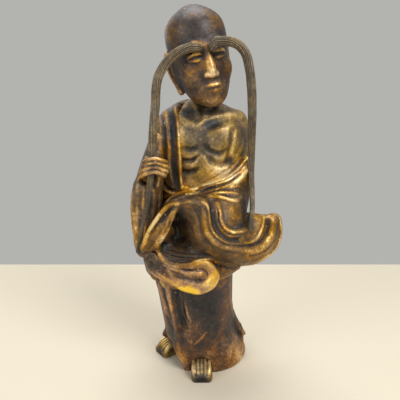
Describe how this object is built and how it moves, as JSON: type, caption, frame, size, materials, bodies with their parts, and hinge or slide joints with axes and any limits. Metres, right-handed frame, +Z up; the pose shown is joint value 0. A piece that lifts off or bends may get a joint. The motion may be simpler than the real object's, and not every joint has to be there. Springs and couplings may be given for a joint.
{
  "type": "bronze luohan figure",
  "caption": "Standing robed monk in patinated, part-gilt bronze, with very long brows that arch out from the forehead and hang to the hips, one of them held in the fist.",
  "frame": {"origin": "under the middle of the figure's box, on the surface that it stands on", "axes": "+Z up, the figure faces -Y, its left hand side is towards +X"},
  "size_m": [0.1562, 0.1326, 0.3794],
  "materials": {
    "dark_bronze": "cast, dark brown patina with worn gilding on the raised folds",
    "rubbed_bronze": "cast, brown patina rubbed to a dull gold",
    "gilt_bronze": "cast, worn fire gilding",
    "pin_bronze": "turned bronze rod"
  },
  "bodies": {
    "root": {"skirt": "dark_bronze", "hip_robe": "dark_bronze", "torso": "rubbed_bronze", "shoulder_robe": "dark_bronze", "head": "rubbed_bronze", "right_eyebrow": "dark_bronze", "left_eyebrow": "dark_bronze", "right_sleeve": "dark_bronze", "right_hand": "rubbed_bronze", "left_sleeve": "dark_bronze", "left_sleeve_tail": "dark_bronze", "hem_fold": "gilt_bronze", "left_foot": "rubbed_bronze", "right_foot": "rubbed_bronze", "waist_pin_left": "pin_bronze", "waist_pin_right": "pin_bronze", "waist_pin_back": "pin_bronze", "chest_pin_left": "pin_bronze", "chest_pin_right": "pin_bronze", "neck_pin": "pin_bronze", "right_sleeve_dowel": "pin_bronze", "left_sleeve_dowel_right": "pin_bronze", "left_sleeve_dowel_left": "pin_bronze", "sleeve_tail_dowel": "pin_bronze", "hem_fold_dowel": "pin_bronze"}
  },
  "joints": []
}
